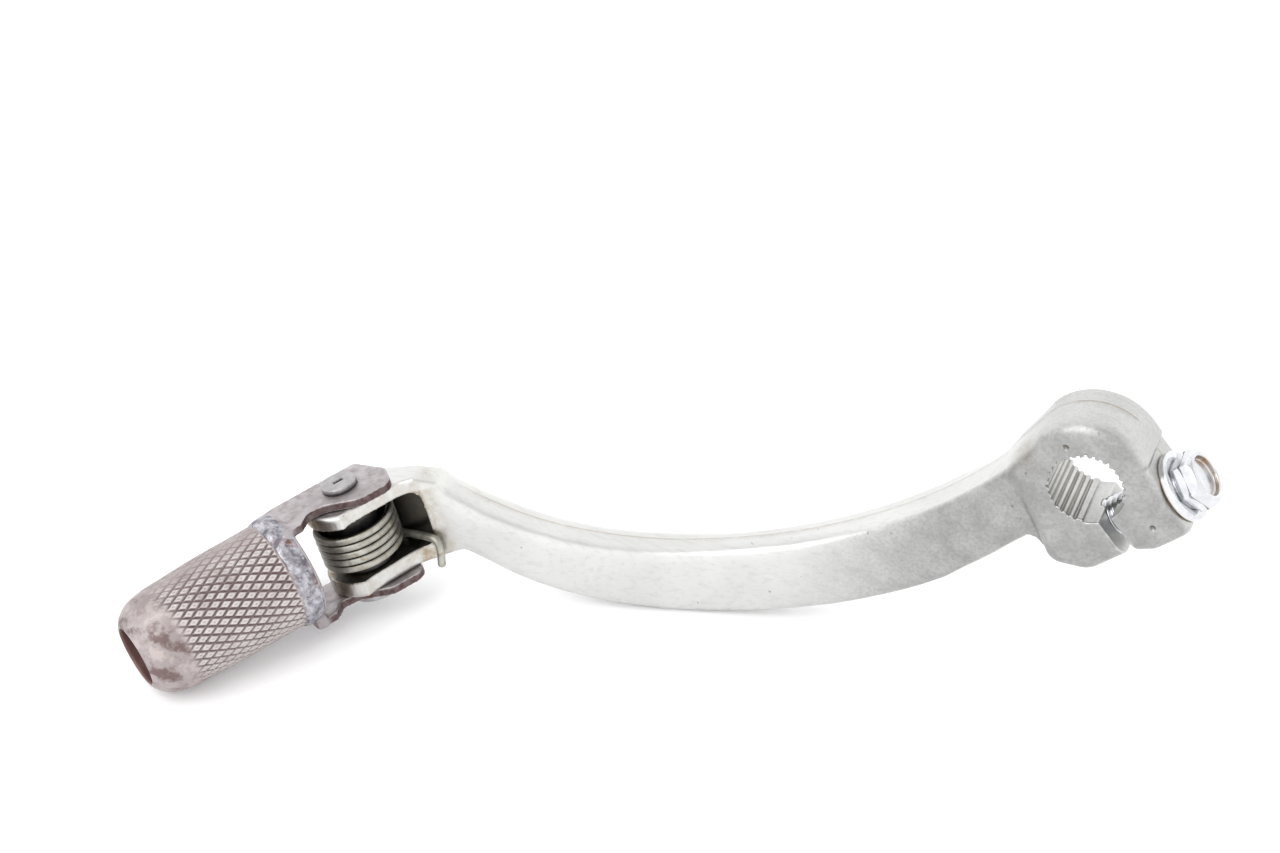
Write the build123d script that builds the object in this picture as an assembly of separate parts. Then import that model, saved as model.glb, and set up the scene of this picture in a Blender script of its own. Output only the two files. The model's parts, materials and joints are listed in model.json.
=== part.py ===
from build123d import *
import math
import os

# Gear shift lever: forged aluminium arm with a splined split clamp, and a
# sprung folding toe peg carried in the fork at its other end.
# Millimetres. Origin: axis of the splined bore, at half the clamp's width.
# +Y runs along the bore towards the engine, -X towards the toe peg, +Z up.

os.makedirs("parts", exist_ok=True)

# ---- driving dimensions ------------------------------------------------------
# clamp
CLAMP_WIDTH = 12.5
CLAMP_RADIUS = 11.2
TIP_RADIUS = 5.7            # tooth tips of the splined bore
ROOT_RADIUS = 6.4
SMOOTH_RADIUS = 6.15        # plain stretch of the bore either side of the slot
TEETH = 31                  # teeth in a full circle
TIP_LAND = 0.44             # part of a tooth's pitch that is flat tip
ROOT_LAND = 0.14            # part of a tooth's pitch that is flat root
PLAIN_HALF_ANGLE = 40       # degrees each side of the slot with no teeth
BOLT_ANGLE = 42             # degrees from +X to the pinch bolt's axis
BOLT_OFFSET = 8.75          # bore axis to bolt axis
SEAT = 9.9                  # bolt seat, measured along the bolt from the bore axis
SLOT_WIDTH = 2.2
SLOT_SHIFT = -0.6           # slot's centre plane, measured along the bolt
SEAT_OUTER = 14.4           # the seat's outer end, measured across the bolt
LAND = 10.45                # low land beside the seat, measured along the bolt
LAND_INNER = -0.45          # the land's two ends, measured across the bolt
LAND_OUTER = 1.3
ARMPIT_ROUND = 2.4          # hollow between the bar and the lower jaw
ARMPIT_BAR = (-0.79, -0.61) # the bar's direction as it leaves that hollow
CLAMP_EDGE = 1.1            # rounding of the clamp's inboard rim
CLAMP_FACE_EDGE = 2.4       # rounding of its outboard rim
DIMPLES = ((-3.9, 6.7), (10.9, -4.2))   # punched dots on the outboard face, as (x, z)
DIMPLE_RADIUS = 0.5
THREAD_DEPTH = 26.0         # how far the lower jaw is bored for the thread

# pinch bolt, M6 x 20
BOLT_RADIUS = 3.0
BOLT_LENGTH = 20.0
BOLT_CLEARANCE = 3.3
THREAD_BORE = 3.05
HEX_FLATS = 8.5
HEX_HEIGHT = 3.4
HEAD_NECK = 0.3
NECK_RADIUS = 3.9
HEAD_RECESS_RADIUS = 3.3
HEAD_RECESS_DEPTH = 1.0
WASHER_RADIUS = 5.75
WASHER_THICK = 1.4
WASHER_BORE = 3.2
WASHER_ROUND = 0.4
HEAD_CHAMFER = 0.75
CORNER_CUT = 0.55           # how far the hexagon's corners stand past its flats
SHANK_CHAMFER = 0.6

# bar
BAR_THICK = 6.8
NECK_THICK = 9.6            # thickness where the bar leaves the clamp
BAR_ROUND = 1.5
SWEEP_START = -14.0         # where the bar leaves the clamp's plane
SWEEP_RADIUS = 150.0
SWEEP_ANGLE = 19.6          # degrees outboard in the middle stretch
SWEEP_STRAIGHT = 17.0
END_RADIUS = 205.0
FORK_ANGLE = 14.0           # degrees outboard at the fork

# fork, in the pin's own frame: x outward along the fork, y outboard, z up the pin
PIN_CENTRE = (-117.3, -31.0, -25.7)
PIN_AXIS = (-0.26, -0.04, 0.965)
EAR_RADIUS = 7.4
EAR_TOP = 7.2
EAR_BOTTOM = -9.2
GAP_TOP = 4.7
GAP_BOTTOM = -6.1
THROAT = -12.2              # back wall of the gap
POCKET_BACK = -5.2          # inboard wall of the gap, which stays on the far side
POCKET_RADIUS = 7.8         # room for the spring's coil
FORK_ROOT = -15.8
ROOT_FAR = -9.6             # the root's two sides
ROOT_NEAR = -2.9
EAR_EDGE = 0.7              # rounding of the ears' rims
THROAT_ROUND = 1.8
ROOT_SLOPE = (-12.2, -16.4, 5.0)    # the top slopes down to the bar between these two x, to this z
FAR_SLOPE = (-6.4, -9.8, 4.0)       # at the root it also slopes off between these two y, to this z
FAR_SLOPE_END = (-2.0, -7.7)        # where that second slope runs out, as (x, y)

# pivot pin and what is on it
PIN_RADIUS = 2.5
PIN_HOLE = 2.54             # running fit in the ears
HEAD_RADIUS = 3.1
HEAD_THICK = 1.2
RIVET_RADIUS = 3.3
RIVET_THICK = 0.9
PIN_WASHER_RADIUS = 5.0
PIN_WASHER_THICK = 0.9
BUSH_OUTER = 4.9
BUSH_INNER = 2.8
BUSH_PLAY = 0.3             # how much shorter the bush is than the gap
MARK = (2.6, 0.55, 0.8)     # punched mark across the pin's head

# return spring
WIRE = 1.4
COIL_MEAN_RADIUS = 6.6
COIL_TURNS = 6
COIL_PITCH = WIRE + 0.02
COIL_LOW = -5.0             # underside of the lowest turn
HOOK_X = -13.9              # where the hooked leg turns down beside the lower ear
HOOK_Y = -0.5
HOOK_END = (-12.6, -9.4)    # x and z of its end
HOOK_BEND = 3.0
LEG_REACH = 1.4             # how far the web leg goes into its hole in the web
LEG_HOLE = 0.95             # radius of that hole

# bracket, in its own frame: x from the pin along the peg, y sideways, z up the pin
PEG_ANGLE = 45.6            # degrees from the fork's outward direction to the peg at rest
PLATE = 1.6
PLATE_GAP = 0.12            # running clearance between plates and ears
PLATE_NEAR = 7.0            # near side of the plates, level with the pin
PLATE_CORNER = (-6.4, 7.2)  # the plates' rounded corner beyond the pin
PLATE_BACK = (-8.1, 1.7)
PLATE_FOOT = -5.5           # x where the end meets the far side
PLATE_FAR = -5.3
PLATE_NECK = 2.4
NECK_X = 7.8
WAIST_X = 4.8
WEB_INNER = 12.0
WEB_THICK = 2.2
WEB_RADIUS = 9.7
WEB_SIDE = 5.2              # near side of the web's straight part

# toe peg
PEG_START = WEB_INNER + WEB_THICK
PEG_END = 42.8
PEG_RADIUS = 9.6
PEG_TIP_RADIUS = 8.7
PEG_STRAIGHT = 27.0         # where the peg starts to taper
PEG_SHOULDER = 38.4         # where its nose starts to round in
PEG_NOSE_ROUND = 5.0
PEG_HOLE = 5.1
PEG_LIP = 3.4               # depth of the round hole in the nose
PEG_WALL = 2.6
BEAD = 1.7                  # the weld's length along the peg
BEAD_RISE = 0.9

# ---- frames ------------------------------------------------------------------
pin_z = Vector(*PIN_AXIS).normalized()
heading = Vector(-math.cos(math.radians(FORK_ANGLE)), -math.sin(math.radians(FORK_ANGLE)), 0)
fork_x = (heading - pin_z * heading.dot(pin_z)).normalized()
fork = Plane(origin=PIN_CENTRE, x_dir=fork_x, z_dir=pin_z)
bracket_frame = fork.location * Location((0, 0, 0), (0, 0, PEG_ANGLE))
peg_frame = bracket_frame * Location((0, 0, 0), (0, 90, 0))
# side view: sketch x is the lever's X, sketch y its Z, extrusion runs towards -Y
side = Plane(origin=(0, 0, 0), x_dir=(1, 0, 0), z_dir=(0, -1, 0))
# bolt frame: z along the bolt towards its head, x across the slot's depth
bolt_dir = Vector(math.cos(math.radians(BOLT_ANGLE)), 0, math.sin(math.radians(BOLT_ANGLE)))
slot_dir = Vector(math.sin(math.radians(BOLT_ANGLE)), 0, -math.cos(math.radians(BOLT_ANGLE)))
bolt_frame = Plane(origin=slot_dir * BOLT_OFFSET, x_dir=slot_dir, z_dir=bolt_dir)
TINY = 0.01
THROUGH = 40.0              # length of a cutter that goes right through


def along_bolt(u, v):
    """Side-view point at u along the bolt and v from the bore axis towards the slot."""
    p = bolt_dir * u + slot_dir * v
    return (p.X, p.Z)


def clamp_body():
    """Split clamp: round boss with a bolt seat and two jaws."""
    corner = along_bolt(LAND, LAND_INNER)
    step = along_bolt(LAND, LAND_OUTER)
    seat = along_bolt(SEAT, LAND_OUTER + LAND - SEAT)
    tail = along_bolt(SEAT, SEAT_OUTER)
    jaw = along_bolt(3.0, 14.6)
    slot_mouth = along_bolt(-0.5, 13.2)
    lug_low = along_bolt(-8.8, 13.3)
    lug_left = (-4.2, -15.9)
    armpit = (-6.97, -10.78)
    crown = (-0.8, CLAMP_RADIUS)
    shoulder = (-9.4, 5.9)
    with BuildSketch(side) as outline:
        with BuildLine():
            ThreePointArc(corner, crown, shoulder)
            Polyline(shoulder, (-13.5, 0.0), armpit, lug_left, lug_low, slot_mouth, jaw, tail,
                     seat, step, corner)
        make_face()
        rounded = {lug_left: 3.2, lug_low: 4.0, jaw: 2.5, tail: 1.5}
        for point, radius in rounded.items():
            vertex = outline.vertices().sort_by_distance((point[0], point[1], 0))[0]
            fillet(vertex, radius)
    body = extrude(outline.sketch, CLAMP_WIDTH / 2, both=True)
    for y, radius in ((CLAMP_WIDTH / 2, CLAMP_EDGE), (-CLAMP_WIDTH / 2, CLAMP_FACE_EDGE)):
        body = fillet(body.edges().filter_by(lambda e: abs(e.center().Y - y) < TINY), radius)
    # the hollow below: two sides of the corner and an arc that rounds it out
    down_bar = Vector(*ARMPIT_BAR).normalized()
    down_lug = (Vector(*lug_left) - Vector(*armpit)).normalized()
    half = down_bar.get_angle(down_lug) / 2
    out = (down_bar + down_lug).normalized()
    reach = ARMPIT_ROUND / math.tan(math.radians(half))
    on_bar = Vector(*armpit) + down_bar * reach
    on_lug = Vector(*armpit) + down_lug * reach
    middle = Vector(*armpit) + out * (ARMPIT_ROUND / math.sin(math.radians(half)) - ARMPIT_ROUND)
    with BuildSketch(side) as hollow:
        with BuildLine():
            ThreePointArc(on_bar, middle, on_lug)
            Polyline(on_lug, Vector(*armpit) - out, on_bar)
        make_face()
    return body + extrude(hollow.sketch, NECK_THICK / 2, both=True)


def dimple_cutters():
    """Two punched dots in the clamp's outboard face."""
    return [Pos(x, -CLAMP_WIDTH / 2, z) * Sphere(DIMPLE_RADIUS) for x, z in DIMPLES]


def bore_cutter():
    """Splined bore: plain round hole, tooth spaces, and the plain stretch by the slot."""
    length = CLAMP_WIDTH + 2
    slot_angle = BOLT_ANGLE - 90
    cutter = extrude(side * Circle(TIP_RADIUS), length / 2, both=True)
    pitch = 360 / TEETH
    space_outer = math.radians(pitch * ROOT_LAND / 2)
    space_inner = math.radians(pitch * (1 - TIP_LAND) / 2)
    inside = TIP_RADIUS - 1
    space = Polygon(
        (inside, inside * math.tan(space_inner)), (inside, -inside * math.tan(space_inner)),
        (TIP_RADIUS * math.cos(space_inner), -TIP_RADIUS * math.sin(space_inner)),
        (ROOT_RADIUS * math.cos(space_outer), -ROOT_RADIUS * math.sin(space_outer)),
        (ROOT_RADIUS * math.cos(space_outer), ROOT_RADIUS * math.sin(space_outer)),
        (TIP_RADIUS * math.cos(space_inner), TIP_RADIUS * math.sin(space_inner)), align=None)
    spaces = Sketch()
    for i in range(TEETH):
        angle = slot_angle + (i + 0.5) * pitch
        turned = abs((angle - slot_angle + 180) % 360 - 180)
        if turned > PLAIN_HALF_ANGLE + pitch / 2:
            spaces += Rot(0, 0, angle) * space
    cutter += extrude(side * spaces, length / 2, both=True)
    far = 2 * SMOOTH_RADIUS
    spread = math.radians(PLAIN_HALF_ANGLE)
    wedge = Polygon((0, 0), (far * math.cos(spread), -far * math.sin(spread)),
                    (far, 0), (far * math.cos(spread), far * math.sin(spread)), align=None)
    plain = Circle(SMOOTH_RADIUS) & (Rot(0, 0, slot_angle) * wedge)
    return cutter + extrude(side * plain, length / 2, both=True)


def bolt_cutters():
    """Slot between the jaws, clearance hole in one jaw and thread bore in the other."""
    slot = bolt_frame.location * Pos(THROUGH / 2 - BOLT_OFFSET, 0, SLOT_SHIFT) * Box(
        THROUGH, CLAMP_WIDTH + 2, SLOT_WIDTH)
    clear = bolt_frame.location * Pos(0, 0, SLOT_SHIFT) * Cylinder(
        BOLT_CLEARANCE, THROUGH, align=(Align.CENTER, Align.CENTER, Align.MIN))
    thread = bolt_frame.location * Pos(0, 0, SLOT_SHIFT) * Cylinder(
        THREAD_BORE, THREAD_DEPTH, align=(Align.CENTER, Align.CENTER, Align.MAX))
    return slot + clear + thread


def bar_body():
    """Curved bar: a side-view band cut by a plan-view band, with round edges."""
    with BuildSketch(side) as band:
        with BuildLine():
            top = ThreePointArc((-107.0, -16.3), (-64.0, -27.4), (-43.3, -22.5))
            rise = TangentArc((-43.3, -22.5), (-8.0, 6.5), tangent=top % 1)
            low = ThreePointArc((-106.0, -27.0), (-62.0, -40.5), (-38.0, -35.2))
            climb = TangentArc((-38.0, -35.2), (-6.5, -10.4), tangent=low % 1)
            Line(rise @ 1, climb @ 1)
            Line(top @ 0, low @ 0)
        make_face()
    turn = math.radians(SWEEP_ANGLE)
    end = math.radians(FORK_ANGLE)
    x1 = SWEEP_START - SWEEP_RADIUS * math.sin(turn)
    y1 = -SWEEP_RADIUS * (1 - math.cos(turn))
    x2 = x1 - SWEEP_STRAIGHT
    y2 = y1 - SWEEP_STRAIGHT * math.tan(turn)
    x3 = x2 - END_RADIUS * (math.sin(turn) - math.sin(end))
    y3 = y2 - END_RADIUS * (math.cos(end) - math.cos(turn))
    x4 = x3 - 5
    y4 = y3 - 5 * math.tan(end)
    half_turn = turn / 2
    xm = SWEEP_START - SWEEP_RADIUS * math.sin(half_turn)
    ym = -SWEEP_RADIUS * (1 - math.cos(half_turn))
    centre_line = ((-4, 0, 0, NECK_THICK), (SWEEP_START, 0, 0, NECK_THICK),
                   (xm, ym, half_turn, (NECK_THICK + 2 * BAR_THICK) / 3),
                   (x1, y1, turn, BAR_THICK), (x2, y2, turn, BAR_THICK),
                   (x3, y3, end, BAR_THICK), (x4, y4, end, BAR_THICK))

    def plan_side(sign):
        """One side of the bar in plan, as a curve through its centre line's offsets."""
        points = [(x + sign * thick / 2 * math.sin(angle), y - sign * thick / 2 * math.cos(angle))
                  for x, y, angle, thick in centre_line]
        return Spline(points, tangents=[(-1, 0), (-math.cos(end), -math.sin(end))])
    with BuildSketch() as plan:
        with BuildLine():
            near = plan_side(1)
            far = plan_side(-1)
            Line(near @ 0, far @ 0)
            Line(near @ 1, far @ 1)
        make_face()
    bar = extrude(band.sketch, 60, both=True) & extrude(plan.sketch, 80, both=True)
    long_edges = bar.edges().filter_by(lambda e: e.length > 12 and abs(e.tangent_at(0.5).X) > 0.3)
    return fillet(long_edges, BAR_ROUND)


def fork_body():
    """Fork block: two ears round the pin, a gap between them, and a sloping root."""
    inner_bend = (-9.4, -1.6)
    outer_bend = (-2.6, 5.6)
    ear_start = (-1.6, 7.225)
    with BuildSketch() as outline:
        with BuildLine():
            Line((FORK_ROOT, ROOT_FAR), (0, -EAR_RADIUS))
            Line((FORK_ROOT, ROOT_FAR), (FORK_ROOT, ROOT_NEAR))
            Polyline((FORK_ROOT, ROOT_NEAR), inner_bend, outer_bend, ear_start)
            ThreePointArc(ear_start, (EAR_RADIUS, 0), (0, -EAR_RADIUS))
        make_face()
        for point, radius in ((inner_bend, 6), (outer_bend, 2)):
            fillet(outline.vertices().sort_by_distance((point[0], point[1], 0))[0], radius)
    block = Pos(0, 0, EAR_BOTTOM) * extrude(outline.sketch, EAR_TOP - EAR_BOTTOM)
    rims = block.edges().filter_by(
        lambda e: min(abs(e.center().Z - EAR_TOP), abs(e.center().Z - EAR_BOTTOM)) < TINY)
    block = fillet(rims, EAR_EDGE)
    slope_start, slope_end, slope_low = ROOT_SLOPE
    with BuildSketch(Plane.XZ) as wedge:
        Polygon((slope_start, EAR_TOP), (slope_end, slope_low), (slope_end, EAR_TOP + 1),
                (slope_start, EAR_TOP + 1), align=None)
    block -= extrude(wedge.sketch, THROUGH / 2, both=True)
    far_start, far_end, far_low = FAR_SLOPE
    edge = Vector(FORK_ROOT, far_start, EAR_TOP)
    fall = Vector(FORK_ROOT, far_end, far_low) - edge
    along = Vector(*FAR_SLOPE_END, EAR_TOP) - edge
    cut = Plane(origin=edge, x_dir=along, z_dir=along.cross(fall))
    if cut.z_dir.Z < 0:
        cut = Plane(origin=edge, x_dir=along, z_dir=-cut.z_dir)
    block -= cut.location * Box(2 * THROUGH, THROUGH, THROUGH, align=(Align.CENTER, Align.CENTER, Align.MIN))
    gap = Pos(THROAT, POCKET_BACK, (GAP_TOP + GAP_BOTTOM) / 2) * Box(
        THROUGH, THROUGH, GAP_TOP - GAP_BOTTOM, align=(Align.MIN, Align.MIN, Align.CENTER))
    gap = fillet(gap.edges().filter_by(Axis.Y).group_by(Axis.X)[0], THROAT_ROUND)
    gap += Pos(0, 0, (GAP_TOP + GAP_BOTTOM) / 2) * Cylinder(POCKET_RADIUS, GAP_TOP - GAP_BOTTOM)
    pin_hole = Cylinder(PIN_HOLE, THROUGH)
    return fork.location * (block - gap), fork.location * (gap + pin_hole)


def lever_arm():
    """Clamp, bar and fork as one forging, with its bores and gap cut."""
    block, fork_cutter = fork_body()
    solid = clamp_body() + bar_body() + block
    solid = solid - fork_cutter - bore_cutter() - bolt_cutters()
    return solid - dimple_cutters()


def pinch_bolt():
    """Hexagon bolt with a recessed head, screwed through the washer and both jaws."""
    under_head = SEAT + WASHER_THICK
    shank = Cylinder(BOLT_RADIUS, BOLT_LENGTH + HEAD_NECK, align=(Align.CENTER, Align.CENTER, Align.MAX))
    shank = chamfer(shank.edges().group_by(Axis.Z)[0], SHANK_CHAMFER)
    neck = Cylinder(NECK_RADIUS, HEAD_NECK, align=(Align.CENTER, Align.CENTER, Align.MAX))
    hexagon = extrude(RegularPolygon(HEX_FLATS / 2, 6, major_radius=False), HEX_HEIGHT)
    crown = Cylinder(HEX_FLATS / 2 + CORNER_CUT, HEX_HEIGHT, align=(Align.CENTER, Align.CENTER, Align.MIN))
    crown = chamfer(crown.edges().group_by(Axis.Z)[-1], HEAD_CHAMFER)
    recess = Pos(0, 0, HEX_HEIGHT - HEAD_RECESS_DEPTH) * Cone(
        HEAD_RECESS_RADIUS - 0.3, HEAD_RECESS_RADIUS, HEAD_RECESS_DEPTH,
        align=(Align.CENTER, Align.CENTER, Align.MIN))
    head = (hexagon & crown) - recess
    bolt = head + neck + shank
    return bolt_frame.location * Pos(0, 0, under_head + HEAD_NECK) * bolt


def captive_washer():
    """Plain washer under the bolt's head, on the clamp's seat."""
    ring = Cylinder(WASHER_RADIUS, WASHER_THICK, align=(Align.CENTER, Align.CENTER, Align.MIN))
    ring = fillet(ring.edges().group_by(Axis.Z)[-1], WASHER_ROUND)
    ring -= Cylinder(WASHER_BORE, 3 * WASHER_THICK)
    return bolt_frame.location * Pos(0, 0, SEAT) * ring


def bracket():
    """U-shaped bracket: two plates over the ears, joined by the web that carries the peg."""
    neck = (NECK_X, PLATE_NECK)
    waist = (WAIST_X, PLATE_NECK + 0.5)
    hip = (0, PLATE_NEAR)
    foot = (PLATE_FOOT, PLATE_FAR)
    top = EAR_TOP + PLATE_GAP
    bottom = EAR_BOTTOM - PLATE_GAP
    with BuildSketch() as outline:
        with BuildLine():
            Polyline(hip, PLATE_CORNER, PLATE_BACK, foot, (PEG_START - TINY, PLATE_FAR),
                     (PEG_START - TINY, WEB_SIDE), (WEB_INNER - 1.9, WEB_SIDE - 0.6), neck, waist, hip)
        make_face()
        for point, radius in ((neck, 1.4), (waist, 3.0), (hip, 3.0), (PLATE_CORNER, 2.6),
                              (PLATE_BACK, 3.0), (foot, 0.6)):
            fillet(outline.vertices().sort_by_distance((point[0], point[1], 0))[0], radius)
    plates = Pos(0, 0, top) * extrude(outline.sketch, PLATE)
    plates += Pos(0, 0, bottom - PLATE) * extrude(outline.sketch, PLATE)
    height = top - bottom + 2 * PLATE
    web = Pos(WEB_INNER, (PLATE_FAR + WEB_SIDE) / 2, (top + bottom) / 2) * Box(
        WEB_THICK, WEB_SIDE - PLATE_FAR, height, align=(Align.MIN, Align.CENTER, Align.CENTER))
    disc = Pos(WEB_INNER, 0, 0) * Rot(0, 90, 0) * Cylinder(
        WEB_RADIUS, WEB_THICK, align=(Align.CENTER, Align.CENTER, Align.MIN))
    solid = plates + web + disc
    solid -= Cylinder(PIN_RADIUS, THROUGH)
    last_turn = COIL_LOW + WIRE / 2 + (COIL_TURNS - 1) * COIL_PITCH
    solid -= Pos(WEB_INNER, -COIL_MEAN_RADIUS, last_turn) * Rot(0, 90, 0) * Cylinder(LEG_HOLE, 3 * WEB_THICK)
    return bracket_frame * solid


def toe_peg():
    """Hollow peg, turned about its own axis; its nose is rolled in to a round hole."""
    bore = PEG_RADIUS - PEG_WALL
    lip = PEG_END - PEG_LIP
    with BuildSketch(Plane.XZ) as section:
        with BuildLine():
            Polyline((bore, PEG_START), (PEG_RADIUS, PEG_START), (PEG_RADIUS - 0.15, PEG_STRAIGHT),
                     (PEG_TIP_RADIUS, PEG_SHOULDER), (PEG_HOLE + 0.3, PEG_END), (PEG_HOLE, PEG_END),
                     (PEG_HOLE, lip), (PEG_HOLE + 1.5, lip - 1.2), (bore, lip - 4.6),
                     (bore, PEG_START))
        make_face()
    body = revolve(section.sketch, Axis.Z)
    nose = body.edges().filter_by(lambda e: e.geom_type == GeomType.CIRCLE
                                  and abs(e.center().Z - PEG_SHOULDER) < TINY)
    body = fillet(nose, PEG_NOSE_ROUND)
    return peg_frame * body


def peg_weld():
    """Fillet weld round the peg where it stands on the bracket's web."""
    with BuildSketch(Plane.XZ) as section:
        with BuildLine():
            outer = PEG_RADIUS + BEAD_RISE
            Line((PEG_RADIUS, PEG_START), (outer, PEG_START))
            ThreePointArc((outer, PEG_START), (outer - 0.1, PEG_START + BEAD / 2),
                          (PEG_RADIUS, PEG_START + BEAD))
            Line((PEG_RADIUS, PEG_START + BEAD), (PEG_RADIUS, PEG_START))
        make_face()
    return peg_frame * revolve(section.sketch, Axis.Z)


def pivot_pin():
    """Pin through both plates and both ears, headed above and riveted over below."""
    top = EAR_TOP + PLATE_GAP + PLATE
    bottom = EAR_BOTTOM - PLATE_GAP - PLATE - PIN_WASHER_THICK
    shank = Pos(0, 0, bottom) * Cylinder(
        PIN_RADIUS, top - bottom, align=(Align.CENTER, Align.CENTER, Align.MIN))
    head = Cylinder(HEAD_RADIUS, HEAD_THICK, align=(Align.CENTER, Align.CENTER, Align.MIN))
    head = fillet(head.edges().group_by(Axis.Z)[-1], 0.35)
    head -= Pos(0, 0, HEAD_THICK) * Box(*MARK)
    rivet = Cylinder(RIVET_RADIUS, RIVET_THICK, align=(Align.CENTER, Align.CENTER, Align.MAX))
    rivet = fillet(rivet.edges().group_by(Axis.Z)[0], 0.6)
    return bracket_frame * (shank + Pos(0, 0, top) * head + Pos(0, 0, bottom) * rivet)


def rivet_washer():
    """Washer between the lower plate and the riveted end."""
    top = EAR_BOTTOM - PLATE_GAP - PLATE
    ring = Cylinder(PIN_WASHER_RADIUS, PIN_WASHER_THICK, align=(Align.CENTER, Align.CENTER, Align.MAX))
    ring = chamfer(ring.edges().group_by(Axis.Z)[0], 0.2)
    return bracket_frame * Pos(0, 0, top) * (ring - Cylinder(PIN_RADIUS, THROUGH))


def spring_bush():
    """Tube round the pin that carries the coil."""
    height = GAP_TOP - GAP_BOTTOM - BUSH_PLAY
    tube = Cylinder(BUSH_OUTER, height) - Cylinder(BUSH_INNER, height + 1)
    return fork.location * Pos(0, 0, (GAP_TOP + GAP_BOTTOM) / 2) * tube


def return_spring():
    """Close-wound coil: one leg hooks over the fork's lower ear, the other sits in the web."""
    first = COIL_LOW + WIRE / 2
    last = first + (COIL_TURNS - 1) * COIL_PITCH
    with BuildSketch(Plane.XZ) as section:
        with Locations((COIL_MEAN_RADIUS, (first + last) / 2)):
            Rectangle(WIRE / 2, last - first)
        with Locations([(COIL_MEAN_RADIUS, first + turn * COIL_PITCH) for turn in range(COIL_TURNS)]):
            Circle(WIRE / 2)
    coil = revolve(section.sketch, Axis.Z)
    # both legs leave the coil along tangents on its inboard side
    leave = math.atan2(HOOK_Y, HOOK_X) + math.acos(COIL_MEAN_RADIUS / math.hypot(HOOK_X, HOOK_Y))
    touch = Vector(COIL_MEAN_RADIUS * math.cos(leave), COIL_MEAN_RADIUS * math.sin(leave), first)
    bend = Vector(HOOK_X, HOOK_Y, first)
    hook = FilletPolyline(touch, bend, (HOOK_END[0], HOOK_Y, HOOK_END[1]), radius=HOOK_BEND)
    tail = Line((0, -COIL_MEAN_RADIUS, last),
                (WEB_INNER + LEG_REACH, -COIL_MEAN_RADIUS, last))
    leg_radius = WIRE / 2 - 3 * TINY
    hook_leg = sweep(Plane(origin=hook @ 0, z_dir=hook % 0) * Circle(leg_radius), hook)
    web_leg = sweep(Plane(origin=tail @ 0, z_dir=tail % 0) * Circle(leg_radius), tail)
    return fork.location * (coil + hook_leg + Rot(0, 0, PEG_ANGLE) * web_leg)


pieces = {
    "lever_arm": lever_arm(),
    "pinch_bolt": pinch_bolt(),
    "captive_washer": captive_washer(),
    "peg_bracket": bracket(),
    "toe_peg": toe_peg(),
    "peg_weld": peg_weld(),
    "pivot_pin": pivot_pin(),
    "rivet_washer": rivet_washer(),
    "spring_bush": spring_bush(),
    "return_spring": return_spring(),
}

for name, shape in pieces.items():
    export_step(shape, f"parts/{name}.step")
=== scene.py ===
import json
import math

import bpy
import numpy as np
from mathutils import Matrix, Vector
from mathutils.bvhtree import BVHTree


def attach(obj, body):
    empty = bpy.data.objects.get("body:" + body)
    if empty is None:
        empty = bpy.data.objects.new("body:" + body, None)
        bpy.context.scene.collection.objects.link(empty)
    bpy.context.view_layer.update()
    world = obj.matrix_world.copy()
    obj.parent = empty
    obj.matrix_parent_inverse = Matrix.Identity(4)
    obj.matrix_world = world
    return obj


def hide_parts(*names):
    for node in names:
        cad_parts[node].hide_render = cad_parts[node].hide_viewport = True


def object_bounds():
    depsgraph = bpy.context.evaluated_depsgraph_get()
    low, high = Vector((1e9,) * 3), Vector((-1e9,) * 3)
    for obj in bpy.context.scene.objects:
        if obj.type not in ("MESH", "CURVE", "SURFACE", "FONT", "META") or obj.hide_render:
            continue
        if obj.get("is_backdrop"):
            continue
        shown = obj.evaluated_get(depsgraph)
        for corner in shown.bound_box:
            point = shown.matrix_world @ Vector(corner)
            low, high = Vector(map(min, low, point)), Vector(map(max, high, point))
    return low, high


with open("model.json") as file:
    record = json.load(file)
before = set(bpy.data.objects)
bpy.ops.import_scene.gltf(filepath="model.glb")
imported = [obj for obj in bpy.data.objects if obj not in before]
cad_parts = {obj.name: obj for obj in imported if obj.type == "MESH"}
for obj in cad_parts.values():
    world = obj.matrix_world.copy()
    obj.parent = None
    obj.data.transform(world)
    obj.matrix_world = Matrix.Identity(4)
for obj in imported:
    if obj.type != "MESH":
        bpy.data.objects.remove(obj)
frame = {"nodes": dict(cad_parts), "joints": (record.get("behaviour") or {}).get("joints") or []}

# Looks of a used gear shift lever: forged aluminium arm, sprung folding toe peg.
# Metres, in the CAD frame: +Y runs along the splined bore, -X to the peg, +Z up.

cad_low, cad_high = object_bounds()
MM = 0.001
TURN = 2 * math.pi

# ---- frames of the design ----------------------------------------------------
HINGE = frame["joints"][0]
PIN_CENTRE = Vector(HINGE["pos_m"])
FORK_ANGLE = math.radians(14)
PEG_ANGLE = math.radians(45.6)
BOLT_ANGLE = math.radians(42)
BOLT_OFFSET = 8.75 * MM

pin_up = Vector(HINGE["axis"]).normalized()
heading = Vector((-math.cos(FORK_ANGLE), -math.sin(FORK_ANGLE), 0))
fork_out = (heading - pin_up * heading.dot(pin_up)).normalized()
bolt_dir = Vector((math.cos(BOLT_ANGLE), 0, math.sin(BOLT_ANGLE)))
slot_dir = Vector((math.sin(BOLT_ANGLE), 0, -math.cos(BOLT_ANGLE)))


def placed(origin, x_axis, z_axis):
    """Matrix of a frame from its origin and its x and z directions."""
    y_axis = z_axis.cross(x_axis)
    turn = Matrix((x_axis, y_axis, z_axis)).transposed().to_4x4()
    return Matrix.Translation(origin) @ turn


FORK = placed(PIN_CENTRE, fork_out, pin_up)
BRACKET = FORK @ Matrix.Rotation(PEG_ANGLE, 4, "Z")
PEG = BRACKET @ Matrix.Rotation(math.radians(90), 4, "Y")
BOLT = placed(slot_dir * BOLT_OFFSET, slot_dir, bolt_dir)


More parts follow.
